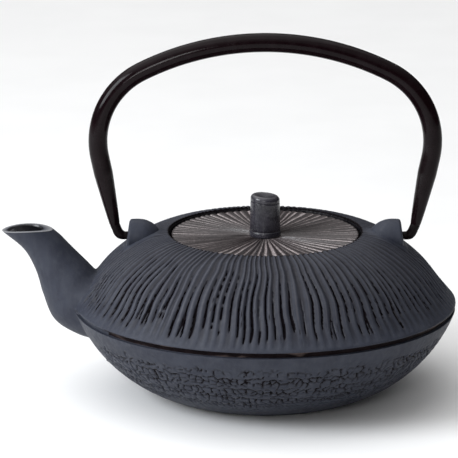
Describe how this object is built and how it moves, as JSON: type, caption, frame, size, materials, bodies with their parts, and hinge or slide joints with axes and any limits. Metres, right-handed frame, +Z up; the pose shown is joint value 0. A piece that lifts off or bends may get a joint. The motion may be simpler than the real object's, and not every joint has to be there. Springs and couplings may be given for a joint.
{
  "type": "teapot",
  "caption": "Low, wide cast-iron teapot with a swinging bail handle, a flat recessed lid with a stub knob, and a lift-out mesh infuser.",
  "frame": {"origin": "centre of the flat foot, on the surface that the pot stands on", "axes": "+Z up along the pot's own axis; the spout points along -X; the bail swings about an axis along X"},
  "size_m": [0.1997, 0.168, 0.1602],
  "materials": {
    "pot_iron": "matte blue-grey enamel over dark iron",
    "lid_iron": "dark semi-gloss enamel with rubbed ridges",
    "knob_iron": "dark semi-gloss enamel",
    "bail_steel": "black satin enamel",
    "hook_iron": "rough black forged rod",
    "stainless": "stainless steel sheet and woven mesh",
    "fastener_steel": "plain stainless fasteners"
  },
  "bodies": {
    "pot": {"pot_bowl": "pot_iron", "pot_shoulder": "pot_iron", "spout": "pot_iron", "bail_lug_spout_side": "pot_iron", "bail_lug_rear": "pot_iron"},
    "bail": {"bail_tube": "bail_steel", "bail_hook_spout_side": "hook_iron", "bail_hook_rear": "hook_iron"},
    "infuser": {"infuser_collar": "stainless", "infuser_wall": "stainless", "infuser_floor": "stainless", "infuser_base_ring": "stainless"},
    "lid": {"lid": "lid_iron", "lid_knob": "knob_iron", "knob_washer": "fastener_steel", "knob_nut": "fastener_steel"}
  },
  "joints": [
    {"name": "bail_swing", "type": "hinge", "parent": "pot", "child": "bail", "pos_m": [0, 0, 0.0694], "axis": [1, 0, 0], "range_deg": [-104, 104]},
    {"name": "infuser_lift", "type": "slide", "parent": "pot", "child": "infuser", "axis": [0, 0, 1], "range_m": [0, 0.06]},
    {"name": "lid_lift", "type": "slide", "parent": "infuser", "child": "lid", "axis": [0, 0, 1], "range_m": [0, 0.06]}
  ]
}
